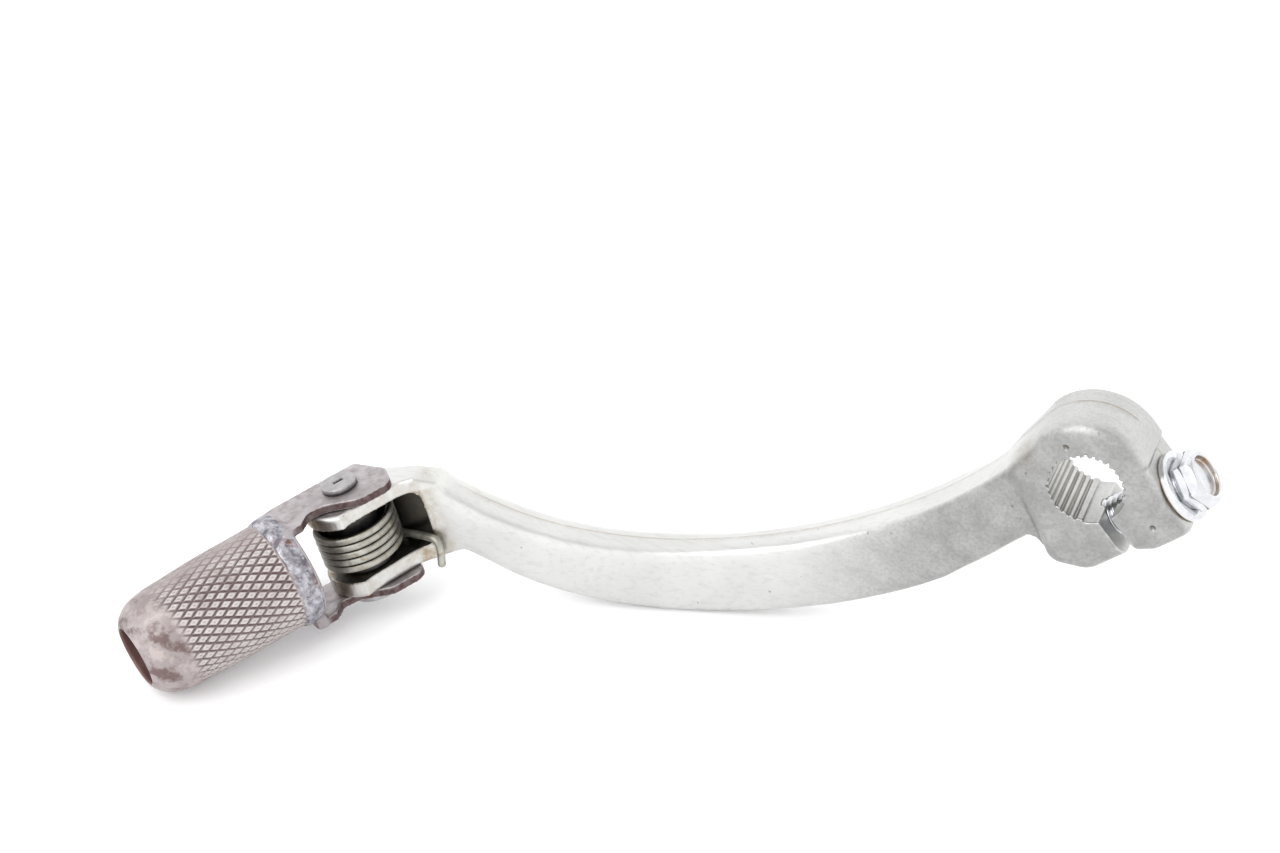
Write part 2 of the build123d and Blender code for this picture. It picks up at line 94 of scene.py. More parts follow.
# ---- mesh helpers ------------------------------------------------------------
def ripple(points, size, seed):
    """Smooth field over the points, mostly -1 to 1, with bumps about size metres long."""
    rng = np.random.default_rng(seed)
    total = np.zeros(len(points))
    waves, gain = 7, 1.8
    for _ in range(waves):
        direction = rng.normal(size=3)
        direction /= np.linalg.norm(direction)
        rate = TURN / size * (0.6 + 0.8 * rng.random())
        total += np.sin(points @ direction * rate + rng.random() * TURN)
    return total / waves * gain


def step(value, low, high):
    """Smooth step from 0 at low to 1 at high."""
    t = np.clip((value - low) / (high - low), 0, 1)
    return t * t * (3 - 2 * t)


def coordinates(mesh):
    co = np.empty(len(mesh.vertices) * 3)
    mesh.vertices.foreach_get("co", co)
    return co.reshape(-1, 3)


def normals(mesh):
    found = np.empty(len(mesh.vertices) * 3)
    mesh.vertices.foreach_get("normal", found)
    return found.reshape(-1, 3)


def set_coordinates(mesh, co):
    mesh.vertices.foreach_set("co", np.asarray(co, float).ravel())
    mesh.update()


def local(points, place):
    """Points of the CAD frame, in the frame that place describes."""
    back = np.array(place.inverted())
    return points @ back[:3, :3].T + back[:3, 3]


def seen_from(mesh, place):
    """The vertices in millimetres in place's frame, and their distances from its z axis."""
    inside = local(coordinates(mesh), place) / MM
    return inside, np.hypot(inside[:, 0], inside[:, 1])


def ring_ripple(turn, height, size, seed, girth=1):
    """Ripple over a turned surface that meets itself after a full turn."""
    spot = np.stack([np.cos(turn) * girth, np.sin(turn) * girth, height], -1)
    return ripple(spot.reshape(-1, 3), size, seed).reshape(turn.shape)


def paint(mesh, **layers):
    """Stores one number per vertex under each name, for the materials to read."""
    for name, values in layers.items():
        layer = mesh.attributes.new(name, "FLOAT", "POINT")
        layer.data.foreach_set("value", np.asarray(values, np.float32))


def neighbour_mean(mesh, values):
    """Each vertex's mean over the vertices that it shares an edge with."""
    edges = np.empty(len(mesh.edges) * 2, np.int64)
    mesh.edges.foreach_get("vertices", edges)
    a, b = edges.reshape(-1, 2).T
    count = np.bincount(np.r_[a, b], minlength=len(values))
    count = np.maximum(count, 1)
    if values.ndim == 1:
        return np.bincount(np.r_[a, b], np.r_[values[b], values[a]], len(values)) / count
    columns = [np.bincount(np.r_[a, b], np.r_[v[b], v[a]], len(v)) / count for v in values.T]
    return np.stack(columns, 1)


def bend_of(mesh, spacing, rounds=3):
    """How sharply the surface turns at each vertex: above 0 on edges, below 0 in corners."""
    co = coordinates(mesh)
    value = -np.einsum("ij,ij->i", neighbour_mean(mesh, co) - co, normals(mesh)) / spacing
    for _ in range(rounds):
        value = 0.5 * value + 0.5 * neighbour_mean(mesh, value)
    return value


def soften(mesh, weight, rounds):
    """Relaxes the surface where weight is above 0; each round goes pull of the way."""
    co = coordinates(mesh)
    pull = 0.6
    share = weight[:, None] * pull
    for _ in range(rounds):
        co = co + share * (neighbour_mean(mesh, co) - co)
    set_coordinates(mesh, co)


def piece_from(mesh, name, body, material, nodes=()):
    """An object for the mesh that rides on a body and stands for the CAD nodes."""
    piece = bpy.data.objects.new(name, mesh)
    bpy.context.scene.collection.objects.link(piece)
    mesh.polygons.foreach_set("use_smooth", np.ones(len(mesh.polygons), bool))
    mesh.materials.clear()
    mesh.materials.append(material)
    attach(piece, body)
    if nodes:
        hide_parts(*nodes)
    return piece


def mesh_from(name, points, faces, place=None):
    mesh = bpy.data.meshes.new(name)
    mesh.from_pydata([tuple(p) for p in points], [], faces)
    if place is not None:
        mesh.transform(place)
    mesh.validate()
    mesh.update()
    return mesh


def fine_copy(node, name, voxel):
    """A CAD node's shape as an even, closed mesh whose faces are about voxel long."""
    source = frame["nodes"][node]
    carrier = bpy.data.objects.new("carrier", source.data.copy())
    bpy.context.scene.collection.objects.link(carrier)
    remesh = carrier.modifiers.new("even", "REMESH")
    remesh.mode = "VOXEL"
    remesh.voxel_size = voxel
    evaluated = carrier.evaluated_get(bpy.context.evaluated_depsgraph_get())
    mesh = bpy.data.meshes.new_from_object(evaluated)
    mesh.name = name
    bpy.data.objects.remove(carrier)
    return mesh


def snap(mesh, node, reach):
    """Moves vertices that are within reach of the CAD node's surface back onto it."""
    source = frame["nodes"][node].data
    source.calc_loop_triangles()
    points = [v.co.copy() for v in source.vertices]
    tree = BVHTree.FromPolygons(points, [tuple(t.vertices) for t in source.loop_triangles])
    co = coordinates(mesh)
    for i in range(len(co)):
        hit = tree.find_nearest(Vector(co[i]), reach)
        if hit[0] is not None:
            co[i] = hit[0]
    set_coordinates(mesh, co)


def arc(centre, radius, start, end, count):
    """Points round part of a circle, in a profile's (radius, height) plane, in degrees."""
    angles = [math.radians(a) for a in np.linspace(start, end, count)]
    return [(centre[0] + radius * math.cos(a), centre[1] + radius * math.sin(a)) for a in angles]


def dense(profile, spacing, closed):
    """The profile in millimetres with more points, at most spacing apart, as an array."""
    points = [np.array(p, float) for p in profile]
    ends = points[1:] + points[:1] if closed else points[1:]
    out = []
    for a, b in zip(points, ends):
        parts = max(1, math.ceil(np.linalg.norm(b - a) / spacing))
        out += [a + (b - a) * k / parts for k in range(parts)]
    if not closed:
        out.append(points[-1])
    return np.array(out)


def lathe(name, profile, place, steps=96, spacing=0.3, closed=True, shape=None):
    """A turned mesh. profile is (radius, height) in millimetres; shape may move its points."""
    line = dense(profile, spacing, closed)
    angle = np.arange(steps) * TURN / steps
    radius, turn = np.meshgrid(line[:, 0], angle, indexing="ij")
    height = np.repeat(line[:, 1][:, None], steps, 1)
    if shape:
        radius, height = shape(turn, radius, height)
    grid = np.stack([radius * np.cos(turn), radius * np.sin(turn), height], -1) * MM
    points = grid.reshape(-1, 3)
    rings = len(line)
    faces = []
    last = rings if closed else rings - 1
    for i in range(last):
        a, b = i * steps, (i + 1) % rings * steps
        faces += [(a + j, a + (j + 1) % steps, b + (j + 1) % steps, b + j) for j in range(steps)]
    if not closed:
        points = np.vstack([points, grid[0].mean(0), grid[-1].mean(0)])
        low, high, end = len(points) - 2, len(points) - 1, (rings - 1) * steps
        faces += [(low, (j + 1) % steps, j) for j in range(steps)]
        faces += [(high, end + j, end + (j + 1) % steps) for j in range(steps)]
    return mesh_from(name, points, faces, place)


def wire(name, path, radius, place, sides=18):
    """A round wire along points in millimetres, with domed ends."""
    path = np.array(path, float)
    along = np.gradient(path, axis=0)
    along /= np.linalg.norm(along, axis=1)[:, None]
    across = np.cross(along[0], (0.3, 0.5, 0.8))
    rings = []
    turns = np.arange(sides) * TURN / sides
    for point, ahead in zip(path, along):
        across = across - ahead * (across @ ahead)
        across /= np.linalg.norm(across)
        other = np.cross(ahead, across)
        rings.append((point, ahead, across, other))
    dome = np.radians(np.linspace(80, 0, 5))
    bulge = 0.6
    start = [(rings[0], -radius * bulge * math.sin(a), radius * math.cos(a)) for a in dome]
    middle = [(ring, 0, radius) for ring in rings[1:-1]]
    end = [(rings[-1], radius * bulge * math.sin(a), radius * math.cos(a)) for a in dome[::-1]]
    points = []
    for (point, ahead, u, v), shift, r in start + middle + end:
        for t in turns:
            points.append(point + ahead * shift + r * (u * math.cos(t) + v * math.sin(t)))
    count = len(points) // sides
    faces = []
    for i in range(count - 1):
        a, b = i * sides, (i + 1) * sides
        faces += [(a + j, a + (j + 1) % sides, b + (j + 1) % sides, b + j) for j in range(sides)]
    faces.append(tuple(range(sides))[::-1])
    faces.append(tuple((count - 1) * sides + j for j in range(sides)))
    return mesh_from(name, np.array(points) * MM, faces, place)


# ---- material helpers --------------------------------------------------------
class Finish:
    """A node material built step by step. Sizes given to noise are in millimetres."""

    def __init__(self, name, metallic=1.0):
        self.material = bpy.data.materials.new(name)
        self.material.use_nodes = True
        self.tree = self.material.node_tree
        self.shader = self.tree.nodes["Principled BSDF"]
        self.shader.inputs["Metallic"].default_value = metallic

    def add(self, kind, **inputs):
        node = self.tree.nodes.new("ShaderNode" + kind)
        for name, value in inputs.items():
            self.put(node.inputs[name.replace("_", " ")], value)
        return node

    def put(self, socket, value):
        if isinstance(value, bpy.types.NodeSocket):
            self.tree.links.new(value, socket)
        else:
            socket.default_value = value

    def noise(self, size, detail=4.0, rough=0.55, stretch=(1, 1, 1)):
        """Noise whose largest marks are about size millimetres; stretch lengthens them."""
        where = self.add("TexCoord").outputs["Object"]
        scale = tuple(1 / (size * MM * s) for s in stretch)
        scaled = self.add("VectorMath")
        scaled.operation = "MULTIPLY"
        self.put(scaled.inputs[0], where)
        self.put(scaled.inputs[1], scale)
        texture = self.add("TexNoise", Vector=scaled.outputs[0], Scale=1.0, Detail=detail, Roughness=rough)
        return texture.outputs["Fac"]

    def ramp(self, value, low, high):
        """0 below low and 1 above high."""
        node = self.add("MapRange")
        self.put(node.inputs["Value"], value)
        self.put(node.inputs["From Min"], low)
        self.put(node.inputs["From Max"], high)
        return node.outputs["Result"]

    def layer(self, name):
        node = self.add("Attribute")
        node.attribute_name = name
        return node.outputs["Fac"]

    def times(self, a, b):
        """The product of two numbers."""
        node = self.add("Math")
        node.operation = "MULTIPLY"
        self.put(node.inputs[0], a)
        self.put(node.inputs[1], b)
        return node.outputs[0]

    def mix(self, share, a, b):
        """Colour a where share is 0 and colour b where it is 1."""
        node = self.add("Mix")
        node.data_type = "RGBA"
        self.put(node.inputs[0], share)
        self.put(node.inputs[6], a)
        self.put(node.inputs[7], b)
        return node.outputs[2]

    def blend(self, share, a, b):
        """Number a where share is 0 and number b where it is 1."""
        node = self.add("Mix")
        self.put(node.inputs[0], share)
        self.put(node.inputs[2], a)
        self.put(node.inputs[3], b)
        return node.outputs[0]

    def bump(self, height, depth, below=None):
        node = self.add("Bump", Height=height, Distance=depth * MM, Strength=1.0)
        if below is not None:
            self.put(node.inputs["Normal"], below)
        return node.outputs["Normal"]

    def done(self, colour, roughness, normal=None, metallic=None):
        self.put(self.shader.inputs["Base Color"], colour)
        self.put(self.shader.inputs["Roughness"], roughness)
        if normal is not None:
            self.put(self.shader.inputs["Normal"], normal)
        if metallic is not None:
            self.put(self.shader.inputs["Metallic"], metallic)
        return self.material


def rgb(red, green, blue):
    """Linear colour from 0-255 display values."""
    values = [c / 255 for c in (red, green, blue)]
    return tuple(c / 12.92 if c <= 0.04045 else ((c + 0.055) / 1.055) ** 2.4 for c in values) + (1,)


# ---- materials ---------------------------------------------------------------
def forged_aluminium():
    """Satin forged aluminium: brushed bar, mottled clamp, brown dirt at seam and fork; painted shade on side
    faces near the clamp, in creases and deep in the fork's gap.
    """
    f = Finish("forged_aluminium")
    broad = f.noise(16, 3)
    mottle = f.noise(0.5, 4, 0.6)
    cloud = f.ramp(f.noise(5, 4, 0.6), 0.36, 0.64)
    fine = f.noise(0.3, 3)
    brushed = f.noise(0.16, 3, 0.6, (30, 3, 5))
    # clamp layer: the clamp's own mottled, darker tone, plus painted shade on side faces
    clamp = f.layer("clamp")
    colour = f.mix(f.ramp(broad, 0.35, 0.7), rgb(206, 206, 204), rgb(216, 216, 214))
    colour = f.mix(f.times(f.ramp(brushed, 0.5, 0.72), 0.3), colour, rgb(172, 172, 170))
    on_clamp = f.times(clamp, 0.85)
    clouded = f.mix(cloud, rgb(140, 140, 139), rgb(166, 166, 165))
    colour = f.mix(on_clamp, colour, clouded)
    dull_and_side_shade = f.times(f.ramp(mottle, 0.42, 0.62), f.times(clamp, 0.4))
    colour = f.mix(dull_and_side_shade, colour, rgb(134, 134, 132))
    pits = f.ramp(f.noise(1.1, 2, 0.4), 0.752, 0.775)
    colour = f.mix(f.times(pits, 0.5), colour, rgb(120, 116, 110))
    worn = f.times(f.ramp(f.layer("edge"), 0.05, 0.3), 0.8)
    colour = f.mix(worn, colour, rgb(238, 238, 237))
    varnish = f.times(f.layer("varnish"), f.ramp(f.noise(2.2, 5, 0.65), 0.34, 0.6))
    colour = f.mix(f.times(varnish, 0.85), colour, rgb(142, 118, 68))
    dirt = f.ramp(f.noise(1.6, 4, 0.6), 0.2, 0.5)
    seam = f.times(f.layer("seam"), dirt)
    colour = f.mix(f.times(seam, 0.9), colour, rgb(126, 104, 74))
    # painted shade with brown dirt in concave creases
    corner = f.times(f.ramp(f.layer("corner"), 0.06, 0.3), 0.85)
    colour = f.mix(corner, colour, rgb(88, 74, 54))
    # painted shade, near-black deep in the fork's gap
    colour = f.mix(f.layer("pocket"), colour, rgb(38, 31, 22))
    rough = f.blend(f.ramp(mottle, 0.3, 0.7), 0.3, 0.4)
    rough = f.blend(clamp, rough, 0.44)
    normal = f.bump(brushed, 0.008)
    normal = f.bump(mottle, 0.02, normal)
    normal = f.bump(fine, 0.008, normal)
    normal = f.bump(pits, -0.06, normal)
    return f.done(colour, rough, normal)


def patina_steel():
    """Bracket: grey-mauve oxide, dark red-brown cut edges, bright rubbed corners."""
    f = Finish("patina_steel", 0.85)
    mottle = f.noise(1.8, 6, 0.65)
    broad = f.noise(7, 3)
    colour = f.mix(f.ramp(broad, 0.35, 0.68), rgb(158, 151, 153), rgb(186, 181, 183))
    colour = f.mix(f.times(f.ramp(mottle, 0.48, 0.7), 0.5), colour, rgb(128, 114, 113))
    cut = f.layer("cut")
    patchy = f.blend(f.ramp(f.noise(1.2, 5), 0.4, 0.6), 0.95, 0.75)
    colour = f.mix(f.times(cut, patchy), colour, rgb(74, 52, 49))
    worn = f.times(f.ramp(f.layer("edge"), 0.04, 0.2), f.ramp(f.noise(2.5, 4), 0.3, 0.5))
    colour = f.mix(f.times(worn, 0.85), colour, rgb(222, 219, 219))
    colour = f.mix(f.times(f.ramp(f.layer("corner"), 0.06, 0.3), 0.9), colour, rgb(62, 40, 34))
    rust = f.ramp(f.noise(3.2, 6, 0.7), 0.58, 0.68)
    colour = f.mix(f.times(rust, 0.55), colour, rgb(110, 66, 50))
    rough = f.blend(f.ramp(mottle, 0.3, 0.7), 0.36, 0.6)
    normal = f.bump(mottle, 0.07)
    normal = f.bump(f.noise(0.3, 3), 0.02, normal)
    return f.done(colour, rough, normal)


def peg_steel():
    """Knurled peg: plum-brown oxide with light, rubbed diamond tips."""
    f = Finish("peg_steel", 0.75)
    mottle = f.noise(1.5, 6, 0.65)
    broad = f.noise(6, 4)
    colour = f.mix(f.ramp(broad, 0.34, 0.66), rgb(150, 139, 138), rgb(176, 168, 167))
    colour = f.mix(f.times(f.ramp(mottle, 0.5, 0.68), 0.5), colour, rgb(126, 106, 103))
    patches = f.noise(4.2, 5, 0.6)
    nose = f.layer("nose")
    light = f.times(f.ramp(patches, 0.54, 0.62), nose)
    colour = f.mix(f.times(light, 0.6), colour, rgb(196, 184, 181))
    dark = f.times(f.ramp(patches, 0.47, 0.38), nose)
    colour = f.mix(f.times(dark, 0.75), colour, rgb(96, 72, 69))
    tips = f.times(f.layer("tip"), f.ramp(f.noise(5, 4), 0.2, 0.5))
    colour = f.mix(f.times(tips, 0.85), colour, rgb(206, 201, 199))
    colour = f.mix(f.times(f.layer("groove"), 0.7), colour, rgb(90, 66, 63))
    colour = f.mix(f.layer("inside"), colour, rgb(118, 90, 85))
    rough = f.blend(f.ramp(mottle, 0.3, 0.7), 0.4, 0.62)
    normal = f.bump(mottle, 0.06)
    normal = f.bump(f.noise(0.3, 3), 0.03, normal)
    return f.done(colour, rough, normal)


def weld_steel():
    """Weld: lumpy blue-grey metal with dark and bright patches."""
    f = Finish("weld_steel", 0.9)
    blotch = f.noise(2.0, 6, 0.7)
    spots = f.noise(0.7, 4, 0.6)
    colour = f.mix(f.ramp(blotch, 0.4, 0.62), rgb(106, 104, 112), rgb(190, 188, 194))
    colour = f.mix(f.times(f.ramp(spots, 0.6, 0.7), 0.6), colour, rgb(214, 212, 216))
    colour = f.mix(f.ramp(f.noise(3.5, 4), 0.6, 0.7), colour, rgb(116, 84, 76))
    rough = f.blend(f.ramp(blotch, 0.4, 0.6), 0.5, 0.32)
    return f.done(colour, rough, f.bump(spots, 0.05))


def zinc_steel():
    """Bright zinc plate with small pits and golden dirt in hollows, partly painted shade."""
    f = Finish("zinc_steel")
    haze = f.noise(1.6, 5, 0.6)
    colour = f.mix(f.ramp(haze, 0.35, 0.7), rgb(204, 205, 208), rgb(222, 223, 226))
    pits = f.ramp(f.noise(0.6, 3, 0.5), 0.68, 0.74)
    colour = f.mix(f.times(pits, 0.7), colour, rgb(120, 116, 112))
    colour = f.mix(f.times(f.layer("grime"), f.ramp(haze, 0.25, 0.6)), colour, rgb(150, 122, 80))
    rough = f.blend(f.ramp(haze, 0.3, 0.7), 0.14, 0.26)
    return f.done(colour, rough, f.bump(haze, 0.02))


def spring_steel():
    """Grey-green spring wire, with painted brown-black shade on the inner side of its turns."""
    f = Finish("spring_steel", 0.9)
    stain = f.noise(2.4, 5, 0.6)
    colour = f.mix(f.ramp(stain, 0.4, 0.66), rgb(156, 155, 146), rgb(186, 185, 178))
    colour = f.mix(f.times(f.ramp(f.noise(1.1, 5, 0.7), 0.52, 0.66), 0.6), colour, rgb(134, 112, 80))
    # painted shade on the inner side of the coil
    colour = f.mix(f.layer("grime"), colour, rgb(50, 41, 30))
    rough = f.blend(f.ramp(stain, 0.3, 0.7), 0.36, 0.52)
    return f.done(colour, rough, f.bump(f.noise(0.5, 4), 0.04))


def pin_steel():
    """Pin, its washer and the bush: matt grey steel, with painted near-black shade in the punched mark, round
    the foot of the head and over the whole bush.
    """
    f = Finish("pin_steel", 0.95)
    haze = f.noise(1.2, 5, 0.6)
    colour = f.mix(f.ramp(haze, 0.35, 0.7), rgb(150, 148, 148), rgb(184, 182, 182))
    # painted near-black shade in recesses and round the foot of the head
    colour = f.mix(f.layer("grime"), colour, rgb(22, 18, 16))
    rough = f.blend(f.ramp(haze, 0.3, 0.7), 0.3, 0.48)
    return f.done(colour, rough, f.bump(f.noise(0.5, 4), 0.03))


# ---- lever arm ---------------------------------------------------------------
SWEEP_X = (-110, -100.5, -81.3, -64.3, -14, 12)      # millimetres along the lever
SWEEP_DEGREES = (14, 14, 19.6, 19.6, 0, 0)           # how far outboard it heads there


def bar_centre(x):
    """The bar's centre line in plan: its y at each x, in metres."""
    table = np.linspace(12, -118, 521)
    slope = np.tan(np.radians(np.interp(table, SWEEP_X, SWEEP_DEGREES)))
    y = np.cumsum(-slope * (table[0] - table[1]))
    return np.interp(x / MM, table[::-1], y[::-1]) * MM


RIDGE_HEIGHT, RIDGE_WIDTH = 0.16, 0.34               # of the parting line
SHOULDER_DROP = 0.07                                 # beside the parting line
BROAD_WAVE, FINE_WAVE = 0.045, 0.02                  # unevenness of the forged skin
BORE_EDGE = 6.8                                      # the skin outside it isn't splined


def lever_arm():
    """The forging: softened upper edges, a parting ridge and gentle unevenness."""
    voxel = 0.25 * MM
    mesh = fine_copy("lever_arm", "lever_arm_skin", voxel)
    co = coordinates(mesh)
    spline_reach = 6.9 * MM
    radial = np.hypot(co[:, 0], co[:, 2])
    snap(mesh, "lever_arm", 0.5 * MM)
    co = coordinates(mesh)
    x, z = co[:, 0] / MM, co[:, 2] / MM
    across = (co[:, 1] - bar_centre(co[:, 0])) / MM
    along_bolt = (co @ np.array(bolt_dir)) / MM
    in_fork = local(co, FORK) / MM
    in_bar = step(x, -103, -97) * (1 - step(x, -15, -9))
    facing = normals(mesh)
    # rounded top of the bar, then the blends from bar to fork and from bar to clamp
    upward = step(facing[:, 2], 0.0, 0.5)
    rounding = in_bar * (1 - step(across, -0.6, 0.4)) * step(upward + 0.4, 0, 1)
    soften(mesh, rounding, 70)
    soften(mesh, in_bar * 0.8, 10)
    root = step(in_fork[:, 0], -25, -18) * (1 - step(in_fork[:, 0], -13.6, -11.8))
    soften(mesh, root, 60)
    neck = step(-x, 8, 11) * (1 - step(-x, 17, 21)) * step(radial / MM, 8.4, 9.6)
    soften(mesh, neck, 120)
    co, facing = coordinates(mesh), normals(mesh)
    # the parting line lies near mid-thickness on the bar and further inboard on the clamp
    line = across - (0.5 + 0.9 * step(x, -24, -8))
    edgewise = 1 - step(np.abs(facing[:, 1]), 0.45, 0.8)
    solid_part = (1 - step(-x, 98, 104)) * (1 - step(along_bolt, 10.0, 10.35))
    solid_part = solid_part * step(radial / MM, BORE_EDGE, 7.6)
    upper = step(facing[:, 2], -0.2, 0.2)
    ridge = np.exp(-(line / RIDGE_WIDTH) ** 2) * edgewise * solid_part
    shoulder = step(line, 0.2, 0.9) * (1 - step(line, 2.4, 3.0)) * edgewise * solid_part * upper
    lift = RIDGE_HEIGHT * ridge - SHOULDER_DROP * shoulder
    plain = step(radial / MM, BORE_EDGE, 7.4) * (1 - step(in_fork[:, 0], -16, -12))
    lift += BROAD_WAVE * ripple(co, 9 * MM, 3) * plain + FINE_WAVE * ripple(co, 3 * MM, 4) * plain
    set_coordinates(mesh, co + facing * (lift * MM)[:, None])
    # dirt and painted shade: a brown deposit and painted shade between the fork's ears, a stain near the
    # clamp's corner, dirt along the parting line, and painted shade on side faces and in creases
    bend = bend_of(mesh, voxel)
    in_gap = step(in_fork[:, 0], -16.5, -12) * (1 - step(in_fork[:, 2], 6.6, 7.1))
    stain = np.exp(-((x + 11) ** 2 + (z - 4) ** 2) / 6) * (1 - step(across, -4, -1)) * 0.3
    # painted shade: side faces near the clamp and along the inner bar are darkened against the tops, on top
    # of the clamp's own mottled tone
    toward_side = step(np.abs(facing[:, 1]), 0.4, 0.85)
    dull_and_side_shade = np.maximum(step(x, -15, -7) * (0.4 + 0.6 * toward_side), step(x, -52, -18) * toward_side)
    # painted shade: near-black deep in the gap between the fork's ears, lifted where its wall and floor face
    # the light
    level = step(in_fork[:, 2], -6.5, -6.0) * (1 - step(in_fork[:, 2], 4.5, 5.0))
    inner = np.maximum(in_fork[:, 1] > -5.6, np.hypot(in_fork[:, 0], in_fork[:, 1]) < 8.0)
    pocket = level * inner * step(in_fork[:, 0], -12.9, -12.3)
    lit_wall = step(in_fork[:, 1], -4.4, -2.0) * step(-in_fork[:, 0], 8.5, 11.5)
    lit_floor = step(facing @ np.array(pin_up), 0.3, 0.8) * step(in_fork[:, 1], -3, 2)
    pocket = pocket * (1 - 0.8 * lit_wall) * (1 - 0.75 * lit_floor)
    on_ear_end = step(in_fork[:, 0], 0.5, 4.5)
    lower_tip = step(-in_fork[:, 0], 7.5, 9.5) * (1 - step(in_fork[:, 2], -6.6, -5.8))
    # the brown deposit is real; its extra share on the lit wall and floor is painted light
    varnish = 0.3 + 0.7 * on_ear_end + 0.6 * lower_tip + 0.5 * (lit_wall + lit_floor) * level
    varnish = in_gap * np.clip(varnish, 0, 1)
    seam = np.exp(-((line - 0.28) / 0.27) ** 2) * edgewise * solid_part * upper
    seam = np.clip(seam * (0.6 + 0.4 * step(x, -60, -20)) + stain, 0, 1)
    # corner: concave creases, darkened brown as dirt and painted shade
    paint(mesh, edge=np.clip(bend, 0, 1), corner=np.clip(-bend, 0, 1) * step(radial, 0, spline_reach),
          clamp=dull_and_side_shade, varnish=varnish, pocket=pocket * 0.9, seam=seam)
    return piece_from(mesh, "lever_arm_skin", "arm", forged_aluminium(), ["lever_arm"])


# ---- pinch bolt and washer ---------------------------------------------------
SEAT = 9.9
WASHER_THICK = 1.4
HEAD_BASE = SEAT + WASHER_THICK + 0.3
HEX_FLATS, HEX_HEIGHT = 8.5, 3.4
CROWN_RADIUS, HEX_CORNER = 4.0, 4.85
NOMINAL = 6.0               # the radius that the profile gives the hexagon
CHAMFER_SLOPE = 0.62        # how fast the head's top falls towards its corners
SHANK, NECK = 3.0, 3.9
THREAD_CREST, THREAD_DEPTH, THREAD_PITCH = 3.18, 0.58, 1.0


def pinch_bolt(material):
    """M6 bolt: rolled thread, neck, and a hexagon head with a hollow in its top."""
    recess, top = 3.3, HEX_HEIGHT

    def shape(turn, radius, height):
        sector = (turn + math.radians(30)) % math.radians(60) - math.radians(30)
        flat = np.minimum(HEX_FLATS / 2 / np.cos(sector), HEX_CORNER)
        share = (radius - CROWN_RADIUS) / (NOMINAL - CROWN_RADIUS)
        is_head = (height > 0) & (radius > CROWN_RADIUS)
        outer = CROWN_RADIUS + (flat - CROWN_RADIUS) * share
        drop = np.clip(outer - CROWN_RADIUS, 0, None) * CHAMFER_SLOPE
        height = np.where(is_head & (height > top / 2), height - drop, height)
        threaded = step(-height, 1.6, 2.2) * (1 - step(-height, 19.4, 20.2))
        wave = np.abs((height / THREAD_PITCH + turn / TURN) % 1.0 * 2 - 1)
        on_thread = (height < 0) & (radius > 2.5) & (radius < 3.3)
        cut = THREAD_DEPTH * threaded * step(wave, 0.1, 0.9)
        radius = np.where(on_thread, radius - cut, radius)
        return np.where(is_head, outer, radius), height
    shank = [(0.3, -20.3), (2.3, -20.3), (SHANK, -19.6), (THREAD_CREST, -18.9), (THREAD_CREST, -2.4),
             (SHANK, -1.8), (SHANK, -0.3), (NECK, -0.3), (NECK, 0.02)]
    head = [(5.2, 0.02), (5.8, 0.12), (NOMINAL, 0.4), (NOMINAL, top - 0.5), (5.85, top - 0.2),
            (5.4, top - 0.04), (4.9, top), (CROWN_RADIUS, top)]
    hollow = [(recess + 0.14, top - 0.03), (recess, top - 0.18), (recess - 0.15, top - 0.85),
              (recess - 0.35, top - 1.0), (0.3, top - 1.0)]
    place = BOLT @ Matrix.Translation(Vector((0, 0, HEAD_BASE * MM)))
    mesh = lathe("pinch_bolt_skin", shank + head + hollow, place, 180, 0.11, False, shape)
    inside, reach = seen_from(mesh, place)
    wall = (reach < recess + 0.05) * step(reach, recess - 0.7, recess - 0.3) * (inside[:, 2] > 0.5)
    # golden dirt on the wall of the head's hollow, made stronger on one side as painted shade
    paint(mesh, grime=wall * (0.35 + 0.65 * step(-inside[:, 0], -2, 2)))
    return piece_from(mesh, "pinch_bolt_skin", "arm", material, ["pinch_bolt"])


def captive_washer(material):
    """Thick washer with a rounded, slightly dented rim."""
    outer, thick = 5.75, WASHER_THICK

    def shape(turn, radius, height):
        dents = ring_ripple(turn, height * 0.3, 0.5, 8)
        return radius + 0.035 * dents * (radius > 5), height
    profile = [(3.3, 0), (outer - 0.15, 0)] + arc((outer - 0.25, 0.25), 0.25, -60, 0, 4)
    profile += arc((outer - 0.42, thick - 0.42), 0.42, 0, 90, 7) + [(3.5, thick), (3.3, thick - 0.2)]
    place = BOLT @ Matrix.Translation(Vector((0, 0, SEAT * MM)))
    mesh = lathe("captive_washer_skin", profile, place, 160, 0.16, True, shape)
    inside = local(coordinates(mesh), place) / MM
    # darker golden band along the washer's foot, where it sits on the clamp
    paint(mesh, grime=(1 - step(inside[:, 2], 0.05, 0.45)) * 0.8)
    return piece_from(mesh, "captive_washer_skin", "arm", material, ["captive_washer"])


# ---- bracket, peg and weld ---------------------------------------------------
def peg_bracket():
    """Pressed bracket with rolled edges and a hand-worn surface."""
    voxel = 0.2 * MM
    mesh = fine_copy("peg_bracket", "peg_bracket_skin", voxel)
    soften(mesh, np.ones(len(mesh.vertices)), 3)
    inside = local(coordinates(mesh), BRACKET) / MM
    soften(mesh, step(inside[:, 0], 11.0, 13.0), 30)
    co, facing = coordinates(mesh), normals(mesh)
    set_coordinates(mesh, co + facing * (0.04 * MM * ripple(co, 5 * MM, 12))[:, None])
    bend = bend_of(mesh, voxel)
    inside = local(co, BRACKET) / MM
    sideways = 1 - step(np.abs(facing @ np.array(pin_up)), 0.3, 0.7)
    paint(mesh, edge=np.clip(bend, 0, 1), corner=np.clip(-bend, 0, 1),
          cut=sideways * (1 - step(inside[:, 0], 11, 12.5)))
    return piece_from(mesh, "peg_bracket_skin", "toe_tip", patina_steel(), ["peg_bracket"])


